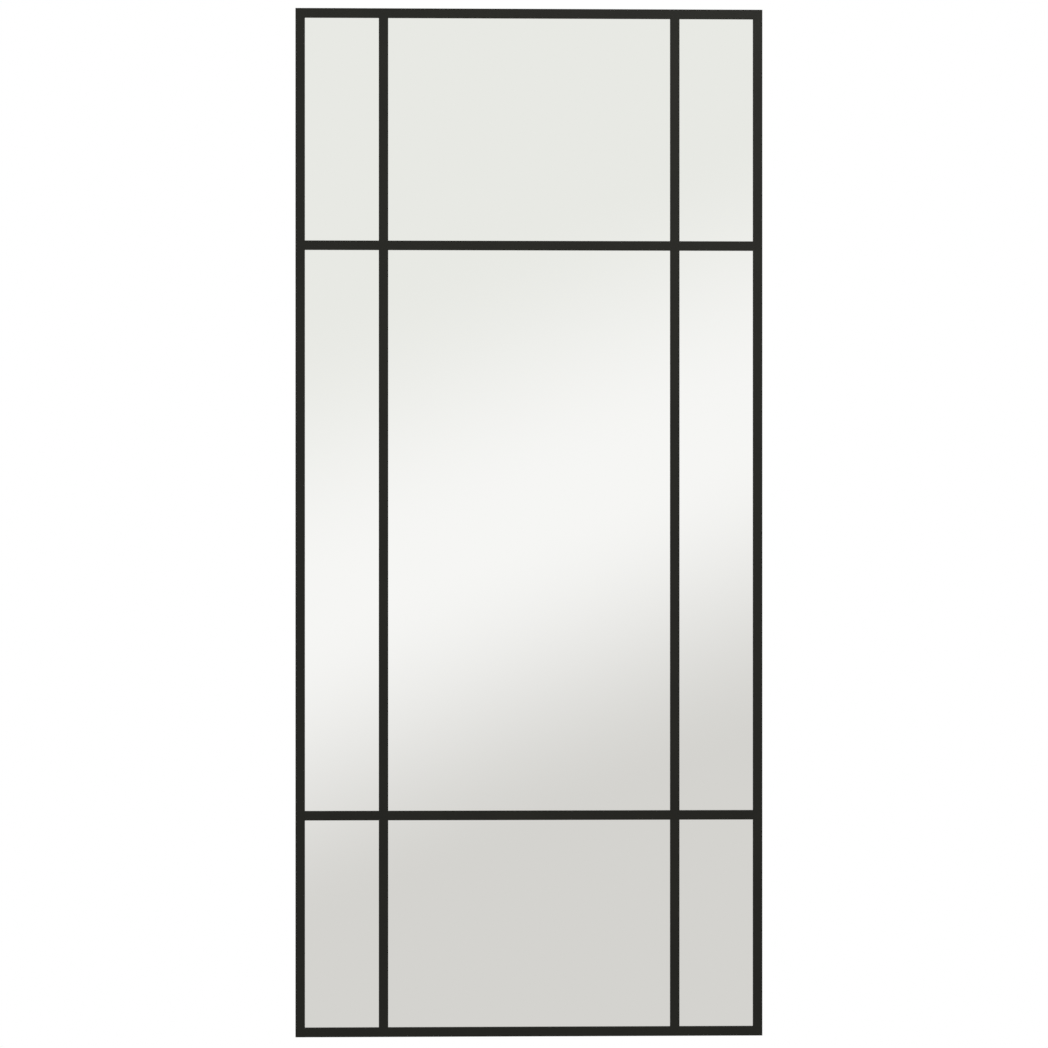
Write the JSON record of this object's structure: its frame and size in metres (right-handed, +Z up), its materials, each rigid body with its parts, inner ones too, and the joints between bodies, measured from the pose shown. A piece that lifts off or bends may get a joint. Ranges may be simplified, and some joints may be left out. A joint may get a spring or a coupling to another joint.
{
  "type": "grid wall mirror",
  "caption": "Tall wall mirror in a black steel frame, with flat bars crossing the glass in a grid, on a timber backing frame with D-ring hangers.",
  "frame": {"origin": "centre of the back, in the plane that lies against the wall, on the middle batten", "axes": "+X to the right seen from the front, +Y from the front to the wall, +Z up"},
  "size_m": [0.75, 0.025, 1.65],
  "materials": {
    "black_powder_coat": "matt black powder coat with a fine texture, over welded and ground mild steel",
    "mirror": "silvered float glass with ground and polished edges, its back painted grey",
    "glazing_foam": "black closed-cell foam tape",
    "rubber_block": "dense black rubber",
    "bonding_foam": "white double-sided foam tape",
    "hardboard": "smooth brown hardboard, faintly mottled",
    "timber": "planed softwood, unpainted",
    "zinc_plate": "bright zinc-plated steel",
    "yellow_zinc": "yellow-passivated zinc-plated steel",
    "black_screw": "black-coated steel"
  },
  "bodies": {
    "mirror": {"backing_board": "hardboard", "batten_bottom": "timber", "batten_left": "timber", "batten_middle": "timber", "batten_right": "timber", "batten_screws": "yellow_zinc", "batten_top": "timber", "board_tape": "bonding_foam", "edge_spacers": "rubber_block", "frame_rail_bottom": "black_powder_coat", "frame_rail_top": "black_powder_coat", "frame_screws": "black_screw", "frame_stile_left": "black_powder_coat", "frame_stile_right": "black_powder_coat", "grid_bar_lower_centre": "black_powder_coat", "grid_bar_lower_left": "black_powder_coat", "grid_bar_lower_right": "black_powder_coat", "grid_bar_upper_centre": "black_powder_coat", "grid_bar_upper_left": "black_powder_coat", "grid_bar_upper_right": "black_powder_coat", "grid_bar_vertical_left": "black_powder_coat", "grid_bar_vertical_right": "black_powder_coat", "hanger_screws_left": "zinc_plate", "hanger_screws_right": "zinc_plate", "hanger_strap_left": "zinc_plate", "hanger_strap_right": "zinc_plate", "mirror_glass": "mirror", "setting_blocks": "rubber_block", "tape_lower_centre": "glazing_foam", "tape_lower_left": "glazing_foam", "tape_lower_right": "glazing_foam", "tape_rail_bottom": "glazing_foam", "tape_rail_top": "glazing_foam", "tape_stile_left": "glazing_foam", "tape_stile_right": "glazing_foam", "tape_upper_centre": "glazing_foam", "tape_upper_left": "glazing_foam", "tape_upper_right": "glazing_foam", "tape_vertical_left": "glazing_foam", "tape_vertical_right": "glazing_foam"},
    "ring_left": {"hanger_ring_left": "zinc_plate"},
    "ring_right": {"hanger_ring_right": "zinc_plate"}
  },
  "joints": [
    {"name": "ring_left_swing", "type": "hinge", "parent": "mirror", "child": "ring_left", "pos_m": [-0.3555, -0.00414, 0.605], "axis": [1, 0, 0], "range_deg": [0, 180]},
    {"name": "ring_right_swing", "type": "hinge", "parent": "mirror", "child": "ring_right", "pos_m": [0.3555, -0.00414, 0.605], "axis": [1, 0, 0], "range_deg": [0, 180]}
  ]
}
